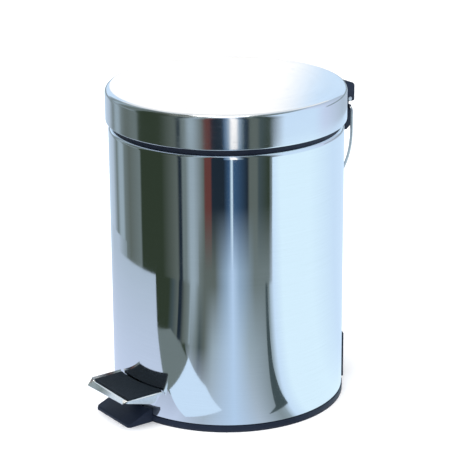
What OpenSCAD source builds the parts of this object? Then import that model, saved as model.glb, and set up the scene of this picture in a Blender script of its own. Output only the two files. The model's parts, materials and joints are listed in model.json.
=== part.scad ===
// Five-litre pedal bin: polished steel body and lid, black mouldings and an inner bucket.
// Millimetres. +Z is up, -Y is the pedal side and +Y the hinge side.
// The origin is on the bin's axis, at the underside of the base.

/* [Body] */
// Outside diameter of the steel body
body_d = 205; // [204:0.5:206]
// Height of the body's rolled shoulder
body_top = 247.2; // [246.8:0.2:247.6]
// Thickness of the steel sheet
sheet_t = 0.8; // [0.6:0.1:0.9]
// Radius of the rolled shoulder
shoulder_r = 3; // [2:0.5:3]
// Height of the black band under the steel
band_h = 5.7; // [5:0.1:6]

/* [Lid] */
// Outside diameter of the lid's skirt
lid_d = 209.6; // [209:0.2:210]
// Height of the skirt's lower edge
lid_low = 252.4; // [252.4:0.1:253]
// Height where the flat of the lid starts
lid_rim = 282; // [280:0.5:284]
// Radius of the lid's rounded edge
lid_edge_r = 5; // [4:0.5:7]
// Rise of the dome above the rim
lid_dome = 4.3; // [2:0.1:6]

/* [Hinge] */
// Distance of the lid's hinge axis from the bin's axis
hinge_y = 119.3; // [119:0.1:119.6]
// Height of the lid's hinge axis
hinge_z = 254.3; // [254:0.1:254.6]
// Width of the hinge leaf on the lid
leaf_w = 46; // [43:0.5:46]
// Width of the hinge housing on the body
housing_w = 42.5; // [41:0.5:43]
// Angle that the lid opens through, in degrees
lid_open = 75; // [60:1:75]

/* [Pedal] */
// Width of the pedal's rubber pad
pad_w = 54; // [50:0.2:55]
// Sideways distance of the pedal from the middle of its lever
pedal_shift = 9.7; // [6:0.1:10]
// Distance of the pad's front edge from the bin's axis
pad_front = 131; // [127:0.5:132]
// Height of the top of the pad
pad_top = 33.6; // [33.2:0.1:34.2]
// Height of the lever's pivot
pivot_z = 12; // [12:0.1:12.4]
// Distance of the lever's pivot in front of the bin's axis
pivot_y = 30; // [28:0.5:32]

/* [Push rod] */
// Diameter of the rod that lifts the lid
rod_d = 3.5; // [3:0.1:3.5]
// Distance of the rod from the bin's axis
rod_y = 105; // [105:0.1:105.2]

/* [Carry handle] */
// Diameter of the handle's wire
bail_d = 2.6; // [2.4:0.1:3]
// Distance between the handle's legs, centre to centre
bail_w = 51; // [50.6:0.1:51.4]

/* [Bucket] */
// Diameter of the bucket at its base
bucket_base_d = 168; // [150:1:172]
// Diameter of the bucket under its rim
bucket_top_d = 183.6; // [180:0.2:184]
// Height of the bucket's floor above the ground
bucket_low = 45; // [44:0.5:60]
// Thickness of the bucket's wall
bucket_t = 1.6; // [1.2:0.1:2]

/* [Hidden] */
$fn = 96;

gap = 0.05; // clearance between parts that are fixed together
eps = 0.5; // overrun of a cutting tool past the face it cuts
steel = [0.80, 0.82, 0.84];
chrome = [0.88, 0.89, 0.91];
black = [0.07, 0.08, 0.10];
grey = [0.30, 0.31, 0.33];

body_r = body_d / 2;
body_in = body_r - sheet_t;
lip_r = body_r - shoulder_r - 0.8; // inner edge of the shoulder
lid_r = lid_d / 2;
lid_in = lid_r - sheet_t;

// lever slot in front, lever window behind, crank notch above it
slot_w = 21;
slot_low = 12;
slot_high = 33;
window_w = 28;
window_high = 48;
notch_w = 20;
notch_low = 235.5;

// collar ring
collar_r = 99.8;
collar_top = 251.9;
collar_wall = 2.6;
ledge_z = 248.3;
ledge_r = 92.8;
skirt_low = 241; // lower edge of the collar's skirt inside the body
skirt_t = 3;
notch_in = 96.8; // how far the crank's notch reaches into the collar
hem_in = 96.9; // inner edge of the lid's turned-in hem

// hinge
housing_low = 226;
housing_high = 248.4;
housing_out = 122.5;
ear_in = 12.5;
ear_out = 17.5;
ear_r = 4.2;
leaf_low = 252;
leaf_out = hinge_y + 5.2;
leaf_slope_low = 268.6; // the leaf's sloping top, at its outer edge and at the lid
leaf_slope_high = 276;
pocket_left = 7; // the housing's pocket for the crank
pocket_right = 11.5;
pin_r = 2;
running = 0.05; // radial clearance of a running fit
screw_r = 1.3;
housing_screw_z = 238;
leaf_screw_z = 267;
screw_angle = 8.5; // of the hinge screws, either side of the hinge side
housing_plate_high = 243; // backing plates inside the body and the lid
lid_plate_low = 259;
lid_plate_high = 274;
housing_screw_out = 112; // how far the hinge screws' holes reach
leaf_screw_out = 114;

// crank and push rod: the rod's pin stays on one vertical line, so the crank's slot is radial
rod_r = rod_d / 2;
crank_reach = hinge_y - rod_y;
crank_low = lid_open / 2; // the crank's angle below level when the lid is shut
rod_top = hinge_z - crank_reach * tan(crank_low);
rod_low = 15;
rod_bend = 3;
crank_x = 3.5;
crank_t = 2.5;
crank_slot_r = 2.7;
ear_x = 3.2;
ear_t = 2.5;
ear_slot_r = 2.25;
clip_r = 3.8;
clip_t = 1;
rod_pin_out = 8.2; // end of the pins at the rod's two bends

// lever
lever_w = 18;
lever_t = 2.5;
lever_top = pad_top - 3.1;
pivot_r = 2.5;
lever_tail = 97; // where the full width ends
lever_end = 110.5;
lever_ear_low = 10.5;
lever_ear_high = 20.3;

// pedal
pad_t = 2.05;
tray_t = 0.95;
pedal_clear = 1.2; // from the steel body
pad_corner = 1.2;
rivet_r = 1.55;
rivet_ys = [-109, -121];

// rear cover
cover_r = 107.4;
cover_half = 25; // degrees either side
cover_high = 42;
bulge_w = 34;
bulge_out = 114.5;
bulge_high = 50;
cover_t = 2;
cover_screw_angle = 17.5;
cover_screw_z = 24;

// carry handle
bail_y = 119.5;
bail_z = 246.5;
bail_r = bail_d / 2;
bail_corner = 3.5;
bail_stub = 14.8; // inner end of each of the handle's stubs
leg_low = 226;
leg_arc = 70; // radius of each leg's lower curve
leg_turn = atan(3 / 4); // each leg's turn inwards, a whole-number slope

// bucket
rim_r = 95.3;
rim_t = 2;
rim_low = ledge_z + gap;
bucket_bail_z = 238;
bucket_bail_r = 83;
bucket_bail_corner = 4;
bucket_bail_out = 92.2; // outer end of the handle's stubs
lug_half = 4;
lug_low = 232;
lug_deep = 6.3; // from the bucket's wall inwards

// ---------- shared shapes ----------

// ring between two heights
module ring(outer, inner, low, high) {
    translate([0, 0, low])
        difference() {
            cylinder(r = outer, h = high - low);
            translate([0, 0, -eps])
                cylinder(r = inner, h = high - low + 2 * eps);
        }
}

// part of a ring, centred on the hinge side
module ring_sector(outer, inner, low, high, half) {
    rotate([0, 0, 90 - half])
        rotate_extrude(angle = 2 * half)
            translate([inner, low])
                square([outer - inner, high - low]);
}

// round bar along X
module bar_x(r, x0, x1, y, z) {
    translate([x0, y, z])
        rotate([0, 90, 0])
            cylinder(r = r, h = x1 - x0);
}

// round bar pointing away from the bin's axis, at an angle from the hinge side
module bar_radial(r, from, to, angle, z) {
    rotate([0, 0, angle])
        translate([0, from, z])
            rotate([-90, 0, 0])
                cylinder(r = r, h = to - from);
}

// a drawing in Y and Z, given thickness along X
module plate_x(x0, x1) {
    translate([x0, 0, 0])
        rotate([90, 0, 90])
            linear_extrude(x1 - x0)
                children();
}

// box from its low and high corners
module block(low, high) {
    translate(low)
        cube(high - low);
}

// rectangle with round corners, from its low and high corners
module round_square(low, high, r) {
    translate([low[0] + r, low[1]])
        square([high[0] - low[0] - 2 * r, high[1] - low[1]]);
    translate([low[0], low[1] + r])
        square([high[0] - low[0], high[1] - low[1] - 2 * r]);
    for (x = [low[0] + r, high[0] - r], y = [low[1] + r, high[1] - r])
        translate([x, y])
            circle(r = r);
}

// slot with round ends between two points on a level line
module slot_2d(x0, x1, y, r) {
    translate([x0, y - r])
        square([x1 - x0, 2 * r]);
    for (x = [x0, x1])
        translate([x, y])
            circle(r = r);
}

// bent wire in the plane of X and Y: turns about the origin, starting at angle from
module wire_arc(bend, wire, from, turn) {
    rotate([0, 0, from])
        rotate_extrude(angle = turn)
            translate([bend, 0])
                circle(r = wire);
}

// ---------- body ----------

module shell_outline(r, top, edge, low) {
    translate([0, low])
        square([r, top - edge - low]);
    translate([0, low])
        square([r - edge, top - low]);
    translate([r - edge, top - edge])
        circle(r = edge);
}

module body_shell() {
    color(steel)
        difference() {
            rotate_extrude()
                difference() {
                    shell_outline(body_r, body_top, shoulder_r, band_h);
                    shell_outline(body_in, body_top - sheet_t, shoulder_r - sheet_t, band_h - eps);
                    translate([0, band_h])
                        square([lip_r, body_top]);
                }
            block([-slot_w / 2, -body_r - eps, slot_low], [slot_w / 2, -body_in + 2, slot_high]);
            block([-window_w / 2, body_in - 3, band_h - eps], [window_w / 2, body_r + eps, window_high]);
            block([-notch_w / 2, lip_r - 2, notch_low], [notch_w / 2, body_r + eps, body_top + eps]);
            for (side = [-1, 1]) {
                bar_radial(screw_r + 0.1, body_in - 2, body_r + 1, side * screw_angle, housing_screw_z);
                bar_radial(1.6, body_in - 2, body_r + 1, side * cover_screw_angle, cover_screw_z);
            }
        }
}

foot_w = 52;
foot_front = 124.5;
foot_tip = 3;
foot_root = 11.5;
foot_corner = 2;
band_r = 103.1;
floor_t = 3;
upstand_top = 15;
rib_top = 6.4;
rib_count = 8;
boss_at = 12.1;
boss_half = 2.5;
boss_out = boss_at + boss_half;
boss_r = 6.5;
foot_pad_r = 4;
foot_pad_at = 96.5;
foot_pad_t = 1.5;
floor_recess_r = 90;

// wedge under the pedal, solid with the base
module toe_wedge() {
    difference() {
        plate_x(-foot_w / 2, foot_w / 2)
            polygon([[-foot_front, 0], [-foot_front, foot_tip - 0.6], [-foot_front + 0.8, foot_tip],
                [-body_r, foot_root], [-body_r + 3, foot_root], [-body_r + 3, 0]]);
        for (side = [-1, 1])
            translate([side * foot_w / 2, -foot_front, -eps])
                rotate([0, 0, 45])
                    cube([foot_corner * sqrt(2), foot_corner * sqrt(2), 4 * foot_tip], center = true);
        translate([0, 0, band_h + gap])
            cylinder(r = body_r + gap, h = foot_root);
    }
}

module base_moulding() {
    color(black)
        difference() {
            union() {
                cylinder(r = band_r - 1, h = floor_t);
                ring(band_r, body_in - 4, 0, band_h);
                ring(body_in - gap, body_in - 2.4, floor_t, upstand_top);
                toe_wedge();
                ring_sector(cover_r, body_r - 1, 0, band_h, cover_half);
                difference() {
                    block([-bulge_w / 2, body_r - 2, 0], [bulge_w / 2, bulge_out, band_h]);
                    cylinder(r = body_r - 1, h = band_h + eps);
                }
                for (side = [-1, 1]) {
                    bar_x(boss_r, side * boss_at - boss_half, side * boss_at + boss_half, -pivot_y, pivot_z);
                    block([side * boss_at - boss_half, -pivot_y - boss_r, floor_t - 1],
                        [side * boss_at + boss_half, -pivot_y + boss_r, pivot_z]);
                }
                for (i = [0 : rib_count - 1])
                    rotate([0, 0, (i + 0.5) * 360 / rib_count])
                        block([20, -0.8, floor_t - 1], [body_in - 2.2, 0.8, rib_top]);
            }
            difference() {
                translate([0, 0, -eps])
                    cylinder(r = floor_recess_r, h = 1.2 + eps);
                translate([0, 0, -2 * eps])
                    cylinder(r = 14, h = 3);
            }
            for (y = [-body_r, body_r])
                block([-16, y < 0 ? y : y - 6, floor_t], [16, y < 0 ? y + 6 : y, upstand_top + eps]);
            bar_x(pivot_r + 0.02, -boss_out - eps, boss_out + eps, -pivot_y, pivot_z);
            for (a = [45 : 90 : 315])
                rotate([0, 0, a])
                    translate([foot_pad_at, 0, -eps])
                        cylinder(r = foot_pad_r, h = foot_pad_t + eps);
        }
}

module rubber_feet() {
    color(grey)
        for (a = [45 : 90 : 315])
            rotate([0, 0, a])
                translate([foot_pad_at, 0, 0])
                    cylinder(r = foot_pad_r - gap, h = foot_pad_t - gap);
}

buffer_r = 1.2;
buffer_at = 98.5;
buffer_step = 45; // degrees from one buffer to the next

module collar_ring() {
    low = body_top + gap;
    color(black)
        difference() {
            rotate_extrude()
                polygon([[collar_r, low], [collar_r, collar_top], [collar_r - collar_wall, collar_top],
                    [collar_r - collar_wall, ledge_z], [ledge_r, ledge_z], [ledge_r, ledge_z - 2],
                    [lip_r - 0.2 - skirt_t, ledge_z - 2], [lip_r - 0.2 - skirt_t, skirt_low],
                    [lip_r - 0.2, skirt_low], [lip_r - 0.2, low]]);
            block([-notch_w / 2, notch_in, skirt_low - 1], [notch_w / 2, body_r, collar_top + eps]);
            for (a = [buffer_step / 2 : buffer_step : 360])
                rotate([0, 0, a])
                    translate([buffer_at, 0, collar_top - 1.2])
                        cylinder(r = buffer_r, h = 2);
        }
}

module lid_buffers() {
    color(grey)
        for (a = [buffer_step / 2 : buffer_step : 360])
            rotate([0, 0, a])
                translate([buffer_at, 0, collar_top - 1.2 + gap])
                    cylinder(r = buffer_r - gap, h = lid_low - collar_top + 1.2 - 2 * gap);
}

module hinge_housing() {
    half = housing_w / 2;
    color(black)
        difference() {
            union() {
                plate_x(-half, half)
                    polygon([[body_r - 3, housing_low], [housing_out - 5, housing_low],
                        [housing_out, housing_low + 4], [housing_out, housing_high - 1],
                        [housing_out - 1, housing_high], [body_r - 3, housing_high]]);
                for (side = [-1, 1]) {
                    x0 = side > 0 ? ear_in : -ear_out;
                    bar_x(ear_r, x0, x0 + ear_out - ear_in, hinge_y, hinge_z);
                    block([x0, hinge_y - ear_r, housing_high - 1],
                        [x0 + ear_out - ear_in, housing_out, hinge_z]);
                }
            }
            translate([0, 0, housing_low - eps])
                cylinder(r = body_r + gap, h = 40);
            block([-pocket_left, body_r - 5, housing_low + 2.5],
                [pocket_right, housing_out - 3, housing_high + eps]);
            translate([0, rod_y, housing_low - eps])
                cylinder(r = rod_r + 0.3, h = 4);
            bar_x(pin_r + 0.02, -half, half, hinge_y, hinge_z);
            for (side = [-1, 1]) {
                x0 = side > 0 ? bail_stub - 0.5 : -half - eps;
                bar_x(bail_r + running, x0, x0 + half + eps - bail_stub + 0.5, bail_y, bail_z);
                bar_radial(screw_r, body_r - 2, housing_screw_out, side * screw_angle, housing_screw_z);
            }
        }
}

module housing_backing_plates() {
    color(steel)
        for (side = [-1, 1])
            difference() {
                rotate([0, 0, side * 8.8])
                    ring_sector(body_in - gap, body_in - 1, housing_low + 2, housing_plate_high, 2.8);
                bar_radial(screw_r + 0.1, body_in - 3, body_r, side * screw_angle, housing_screw_z);
            }
}

// screw with a flat round head towards the bin's axis
module inside_screw(face, length, angle, z) {
    bar_radial(2.7, face - 1.8, face, angle, z);
    bar_radial(screw_r - gap, face - 1, face + length, angle, z);
}

module housing_screws() {
    color(steel)
        for (side = [-1, 1])
            inside_screw(body_in - 1.1, 10.5, side * screw_angle, housing_screw_z);
}

module hinge_pin() {
    color(steel)
        bar_x(pin_r, -leaf_w / 2 - 0.6, leaf_w / 2 + 0.6, hinge_y, hinge_z);
}

module rear_cover() {
    low = band_h + gap;
    color(black)
        difference() {
            union() {
                ring_sector(cover_r, body_r - 1, low, cover_high, cover_half);
                block([-bulge_w / 2, body_r - 2, low], [bulge_w / 2, bulge_out, bulge_high]);
            }
            difference() {
                ring_sector(cover_r - cover_t, body_r - 2, low - eps, cover_high - cover_t,
                    cover_half - 1.1);
                for (side = [-1, 1])
                    bar_radial(4, body_r - 3, cover_r, side * cover_screw_angle, cover_screw_z);
            }
            block([-bulge_w / 2 + cover_t, body_r - 3, low - eps],
                [bulge_w / 2 - cover_t, bulge_out - cover_t, bulge_high - cover_t]);
            translate([0, 0, low - eps])
                cylinder(r = body_r + gap, h = bulge_high);
            translate([0, rod_y, bulge_high - 4])
                cylinder(r = rod_r + 0.3, h = 5);
            for (side = [-1, 1]) {
                bar_radial(1.6, body_r - 2, cover_r + 1, side * cover_screw_angle, cover_screw_z);
                bar_radial(3.1, cover_r - 1.5, cover_r + 1, side * cover_screw_angle, cover_screw_z);
            }
        }
}

module rear_cover_screws() {
    color(steel)
        for (side = [-1, 1]) {
            bar_radial(3, cover_r - 1.45, cover_r - 0.1, side * cover_screw_angle, cover_screw_z);
            bar_radial(1.5, body_in - 2, cover_r - 1, side * cover_screw_angle, cover_screw_z);
        }
}

module lever_pivot_pin() {
    color(steel)
        bar_x(pivot_r, -boss_out - 1.4, boss_out + 1.4, -pivot_y, pivot_z);
}

// ---------- lid ----------

// lid outline from the axis outwards, a shallow dome over a rounded edge
module lid_outline(r, rim, edge, low, inset) {
    flat_r = lid_r - lid_edge_r;
    dome_r = (flat_r * flat_r + lid_dome * lid_dome) / (2 * lid_dome);
    shell_outline(r, rim, edge, low);
    intersection() {
        translate([0, lid_rim + lid_dome - dome_r])
            circle(r = dome_r - inset, $fn = 720);
        translate([0, rim - 1])
            square([flat_r, lid_dome + 2]);
    }
}

module lid_shell() {
    color(steel)
        difference() {
            union() {
                rotate_extrude()
                    intersection() {
                        square([lid_r + 1, lid_rim + lid_dome + 1]);
                        difference() {
                            lid_outline(lid_r, lid_rim, lid_edge_r, lid_low, 0);
                            lid_outline(lid_in, lid_rim - sheet_t, lid_edge_r - sheet_t, lid_low - eps,
                                sheet_t);
                        }
                    }
                ring(lid_in + 0.2, hem_in, lid_low, lid_low + sheet_t);
            }
            for (side = [-1, 1])
                bar_radial(screw_r + 0.1, lid_in - 2, lid_r + 1, side * screw_angle, leaf_screw_z);
        }
}

module lid_hinge_leaf() {
    half = leaf_w / 2;
    color(black)
        difference() {
            plate_x(-half, half)
                polygon([[lid_r - 4, leaf_low], [leaf_out - 0.8, leaf_low], [leaf_out, leaf_low + 1.2],
                    [leaf_out, leaf_slope_low - 2.1], [leaf_out - 1.8, leaf_slope_low],
                    [lid_r - 4, leaf_slope_high]]);
            translate([0, 0, leaf_low - eps])
                cylinder(r = lid_r + gap, h = 40);
            for (side = [-1, 1]) {
                x0 = side > 0 ? ear_in - 0.4 : -ear_out - 0.4;
                block([x0, hinge_y - 5.2, leaf_low - eps],
                    [x0 + ear_out - ear_in + 0.8, leaf_out + eps, hinge_z + 5.3]);
                bar_radial(screw_r, lid_r - 2, leaf_screw_out, side * screw_angle, leaf_screw_z);
            }
            block([crank_x - gap, 106.6, leaf_low - eps],
                [crank_x + crank_t + gap, leaf_out - 2, hinge_z + 8.2]);
            bar_x(pin_r + running, -half - eps, half + eps, hinge_y, hinge_z);
        }
}

module lid_backing_plate() {
    color(steel)
        difference() {
            ring_sector(lid_in - gap, lid_in - 1.1, lid_plate_low, lid_plate_high, 12);
            for (side = [-1, 1])
                bar_radial(screw_r + 0.1, lid_in - 3, lid_r, side * screw_angle, leaf_screw_z);
        }
}

module lid_hinge_screws() {
    color(steel)
        for (side = [-1, 1])
            inside_screw(lid_in - 1.2, 10, side * screw_angle, leaf_screw_z);
}

// steel arm keyed into the leaf: its slot carries the push rod's upper pin
module lid_crank_arm() {
    slot_out = crank_reach / cos(crank_low);
    color(steel)
        plate_x(crank_x, crank_x + crank_t)
            difference() {
                union() {
                    translate([hinge_y, hinge_z])
                        rotate(crank_low)
                            slot_2d(-slot_out, 0, 0, crank_slot_r + 1.6);
                    translate([hinge_y - 8, hinge_z])
                        square([11, 8]);
                }
                translate([hinge_y, hinge_z])
                    circle(r = pin_r + running);
                translate([leaf_out - 2 - gap, hinge_z - 8])
                    square([8, 20]);
                translate([hinge_y, hinge_z])
                    rotate(crank_low)
                        slot_2d(-slot_out - 0.2, -crank_reach + 0.2, 0, crank_slot_r);
            }
}

// ---------- pedal ----------

module pedal_lever() {
    half = lever_w / 2;
    color(steel)
        difference() {
            union() {
                plate_x(-half, half)
                    lever_strip(-pad_front + 3.5, lever_tail);
                plate_x(-half, ear_x + ear_t)
                    lever_strip(lever_tail - 1, lever_end);
                plate_x(ear_x, ear_x + ear_t)
                    round_square([lever_tail, lever_ear_low], [lever_end, lever_ear_high], 3);
                for (side = [-1, 1]) {
                    x0 = side > 0 ? half - lever_t : -half;
                    bar_x(5, x0, x0 + lever_t, -pivot_y, pivot_z);
                    block([x0, -pivot_y - 5, pivot_z], [x0 + lever_t, -pivot_y + 5, pivot_z + 4]);
                }
            }
            bar_x(pivot_r + running, -half - eps, half + eps, -pivot_y, pivot_z);
            plate_x(ear_x - 0.1, ear_x + ear_t + eps)
                slot_2d(rod_y - 0.3, rod_y + 2.6, rod_low - 0.15, ear_slot_r);
            for (y = rivet_ys)
                translate([0, y, lever_top - lever_t - eps])
                    cylinder(r = rivet_r + gap, h = lever_t + 2 * eps);
        }
}

// side view of the lever's strip between two distances along it
module lever_strip(from, to) {
    high = pivot_z + 5.2;
    low = pivot_z + 0.5;
    knees = [[-pad_front, lever_top], [-body_r + 1, lever_top], [-pivot_y - 12, high],
        [-pivot_y + 14, high], [34, low], [body_r + 20, low]];
    intersection() {
        polygon(concat(knees, [for (i = [len(knees) - 1 : -1 : 0]) knees[i] - [0, lever_t]]));
        translate([from, 0])
            square([to - from, pad_top]);
    }
}

// keeps a pedal part clear of the steel body
module clear_of_body() {
    translate([0, 0, -eps])
        cylinder(r = body_r + pedal_clear, h = 60);
}

tray_left = pedal_shift - pad_w / 2 - 3.2;
tray_right = pedal_shift + pad_w / 2 + 0.9;
tray_front = pad_front + 1.2;
tray_top = pad_top - pad_t - gap;
rim_top = pad_top + 0.8; // of the tray's turned-up side
flange_r = 6; // round heel of each side flange
flange_y = 107.5;
flange_slope = 15.2; // of each flange's lower edge, in degrees
apron_out = pad_front + 6;
apron_low = tray_top - 2.9;
apron_taper = 2.4; // degrees between the apron's lower edge and the level

// side view of one flange, up to a height
module flange_outline(high) {
    low = pad_top - 4.8 - flange_r;
    intersection() {
        union() {
            translate([-tray_front, low + flange_r])
                square([tray_front - flange_y + flange_r, high - low - flange_r]);
            translate([-flange_y, low + flange_r]) {
                circle(r = flange_r);
                rotate(-flange_slope)
                    translate([-tray_front, -flange_r])
                        square([tray_front, flange_r]);
            }
        }
        translate([-tray_front, low - 1])
            square([tray_front - flange_y + flange_r, high - low + 1]);
    }
}

// the sloping front, a little deeper at the turned-up side
module tray_apron() {
    difference() {
        plate_x(tray_left, tray_right)
            polygon([[-pad_front - 0.8, tray_top], [-apron_out, apron_low],
                [-apron_out + 0.5, apron_low - 0.8], [-pad_front - 0.8, tray_top - tray_t - 0.3]]);
        translate([tray_left, -apron_out - eps, apron_low - 0.8])
            rotate([0, -apron_taper, 0])
                translate([0, 0, -5])
                    cube([2 * pad_w, apron_out - tray_front, 5]);
    }
}

module pedal_tray() {
    color(chrome)
        difference() {
            union() {
                block([tray_left, -tray_front, tray_top - tray_t], [tray_right, -body_r + 5, tray_top]);
                tray_apron();
                plate_x(tray_right - tray_t, tray_right)
                    flange_outline(tray_top);
                plate_x(tray_left, tray_left + tray_t) {
                    flange_outline(rim_top);
                    polygon([[-tray_front - 0.3, rim_top], [-apron_out, apron_low],
                        [-apron_out + 0.5, apron_low - 0.8], [-tray_front + 1, apron_low - 0.8],
                        [-tray_front + 1, rim_top]]);
                }
            }
            clear_of_body();
            for (y = rivet_ys)
                translate([0, y, tray_top - tray_t - eps])
                    cylinder(r = rivet_r + gap, h = tray_t + 2 * eps);
        }
}

module pedal_pad() {
    low = pad_top - pad_t;
    color(black)
        difference() {
            translate([pedal_shift, 0, low])
                linear_extrude(pad_t)
                    round_square([-pad_w / 2, -pad_front], [pad_w / 2, -body_r + 10], pad_corner);
            clear_of_body();
            for (y = rivet_ys)
                translate([0, y, low - eps])
                    cylinder(r = 3.2, h = eps + 0.85);
        }
}

module tray_rivets() {
    color(steel)
        for (y = rivet_ys)
            translate([0, y, 0]) {
                translate([0, 0, lever_top - lever_t - 1.05])
                    cylinder(r = 3, h = 1);
                translate([0, 0, lever_top - lever_t - 0.5])
                    cylinder(r = rivet_r, h = lever_t + tray_t + 1);
                translate([0, 0, pad_top - pad_t])
                    cylinder(r = 3, h = 0.75);
            }
}

// ---------- push rod ----------

// the rod's end: a quarter bend and a pin along X
module rod_end(z, up) {
    translate([rod_bend, rod_y, z + up * rod_bend])
        rotate([90, 0, 0])
            wire_arc(rod_bend, rod_r, up > 0 ? 180 : 90, 90);
    bar_x(rod_r, rod_bend, rod_pin_out, rod_y, z);
}

module push_rod() {
    color(steel) {
        translate([0, rod_y, rod_low + rod_bend])
            cylinder(r = rod_r, h = rod_top - rod_low - 2 * rod_bend);
        rod_end(rod_low, 1);
        rod_end(rod_top, -1);
    }
}

module rod_clips() {
    color(steel)
        for (place = [[ear_x + ear_t + 0.6, rod_low], [crank_x + crank_t + 0.4, rod_top]])
            difference() {
                bar_x(clip_r, place[0], place[0] + clip_t, rod_y, place[1]);
                bar_x(rod_r + gap, place[0] - eps, place[0] + clip_t + eps, rod_y, place[1]);
            }
}

// ---------- carry handle ----------

// the half-space under the line where a leg's curve meets the tip's curve
module under_joint() {
    reach = leg_arc + 2 * bail_r;
    translate([bail_w / 2 - leg_arc, leg_low, -2 * bail_r])
        rotate([0, 0, -leg_turn])
            translate([0, -reach, 0])
                cube([2 * reach, reach, 4 * bail_r]);
}

// a wire hoop that hangs: stubs, legs, two long curves and a tight one at the tip
module carry_bail() {
    half = bail_w / 2;
    tip_x = half - leg_arc * (1 - cos(leg_turn));
    tip_r = tip_x / cos(leg_turn);
    tip_z = leg_low - leg_arc * sin(leg_turn) + tip_r * sin(leg_turn);
    color(chrome)
        translate([0, bail_y, 0])
            rotate([90, 0, 0]) {
                for (side = [0, 1])
                    mirror([side, 0, 0]) {
                        translate([half - bail_corner, bail_z - bail_corner])
                            wire_arc(bail_corner, bail_r, 0, 90);
                        translate([half, leg_low, 0])
                            rotate([-90, 0, 0])
                                cylinder(r = bail_r, h = bail_z - bail_corner - leg_low);
                        difference() {
                            translate([half - leg_arc, leg_low])
                                wire_arc(leg_arc, bail_r, -90, 90);
                            under_joint();
                        }
                        translate([bail_stub, bail_z, 0])
                            rotate([0, 90, 0])
                                cylinder(r = bail_r, h = half - bail_corner - bail_stub);
                    }
                intersection() {
                    translate([0, tip_z])
                        wire_arc(tip_r, bail_r, 180, 180);
                    under_joint();
                    mirror([1, 0, 0])
                        under_joint();
                }
            }
}

// ---------- bucket ----------

module bucket() {
    base_r = bucket_base_d / 2;
    top_r = bucket_top_d / 2;
    color(black)
        difference() {
            union() {
                translate([0, 0, bucket_low])
                    cylinder(r1 = base_r, r2 = top_r, h = rim_low - bucket_low);
                translate([0, 0, rim_low])
                    cylinder(r = rim_r, h = rim_t);
            }
            translate([0, 0, bucket_low + 2])
                cylinder(r1 = base_r - bucket_t, r2 = top_r - bucket_t,
                    h = rim_low + rim_t - bucket_low - 2);
            translate([0, 0, rim_low + rim_t - eps])
                cylinder(r = top_r - bucket_t, h = 2 * eps);
            bar_x(bail_r + running, -rim_r, rim_r, 0, bucket_bail_z);
        }
    color(black)
        block([-lug_half, bucket_t - 0.1 - top_r, lug_low],
            [lug_half, bucket_t - 0.1 + lug_deep - top_r, bucket_bail_z - bail_r - 0.3]);
}

module bucket_bail() {
    y = -bucket_bail_corner;
    color(chrome)
        translate([0, 0, bucket_bail_z]) {
            translate([0, y, 0])
                wire_arc(bucket_bail_r, bail_r, 180, 180);
            for (side = [0, 1])
                mirror([side, 0, 0]) {
                    translate([bucket_bail_r + bucket_bail_corner, y, 0])
                        wire_arc(bucket_bail_corner, bail_r, 90, 90);
                    bar_x(bail_r, bucket_bail_r + bucket_bail_corner, bucket_bail_out, 0, 0);
                }
        }
}

body_shell();
base_moulding();
rubber_feet();
collar_ring();
lid_buffers();
hinge_housing();
housing_backing_plates();
housing_screws();
hinge_pin();
rear_cover();
rear_cover_screws();
lever_pivot_pin();
lid_shell();
lid_hinge_leaf();
lid_backing_plate();
lid_hinge_screws();
lid_crank_arm();
pedal_lever();
pedal_tray();
pedal_pad();
tray_rivets();
push_rod();
rod_clips();
carry_bail();
bucket();
bucket_bail();
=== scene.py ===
"""Looks of the five-litre pedal bin: polished steel drum and lid on a pale studio floor."""

import json
import math

import bmesh
import bpy
from mathutils import Matrix, Vector


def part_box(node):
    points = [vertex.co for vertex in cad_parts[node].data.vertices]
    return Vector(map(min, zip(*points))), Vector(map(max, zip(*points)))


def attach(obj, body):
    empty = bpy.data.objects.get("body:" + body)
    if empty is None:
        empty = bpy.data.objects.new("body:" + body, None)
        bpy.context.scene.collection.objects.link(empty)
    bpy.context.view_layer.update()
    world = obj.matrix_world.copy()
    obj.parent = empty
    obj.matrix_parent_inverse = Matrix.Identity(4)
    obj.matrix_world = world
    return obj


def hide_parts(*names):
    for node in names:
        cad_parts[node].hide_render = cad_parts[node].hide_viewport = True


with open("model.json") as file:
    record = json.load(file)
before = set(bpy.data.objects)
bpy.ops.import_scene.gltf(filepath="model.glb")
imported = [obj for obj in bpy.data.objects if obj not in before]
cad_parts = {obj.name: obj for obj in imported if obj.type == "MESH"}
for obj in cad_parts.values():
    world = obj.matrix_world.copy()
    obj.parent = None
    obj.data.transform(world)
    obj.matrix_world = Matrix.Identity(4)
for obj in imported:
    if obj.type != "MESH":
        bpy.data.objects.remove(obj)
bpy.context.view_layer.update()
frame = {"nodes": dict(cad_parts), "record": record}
NODES = frame["nodes"]

MM = 0.001
SHEET = 0.8 * MM  # thickness of the steel sheet
HOLD = 0.25 * MM  # from a bend to the ring of points that keeps the shading flat beside it

# ------------------------------------------------------------------ frame dimensions


def box_of(node):
    """Lowest and highest corner of a CAD node, as vectors in metres."""
    low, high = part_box(node)
    return Vector(low), Vector(high)


SHELL_LOW, SHELL_HIGH = box_of("body_shell")
LID_LOW, LID_HIGH = box_of("lid_shell")
PAD_LOW, PAD_HIGH = box_of("pedal_pad")
TRAY_LOW, TRAY_HIGH = box_of("pedal_tray")
BUCKET_LOW, BUCKET_HIGH = box_of("bucket")
BODY_R = SHELL_HIGH.x
LID_R = LID_HIGH.x

# ------------------------------------------------------------------ camera

CAMERA_AT = Vector((1.3263, -0.9482, 0.7041))
CAMERA_TARGET = Vector((-0.0010, -0.0014, 0.1533))
CAMERA_ROLL = math.radians(-0.42)
LENS_MM = 155.8
SENSOR_MM = 36.0


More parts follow.
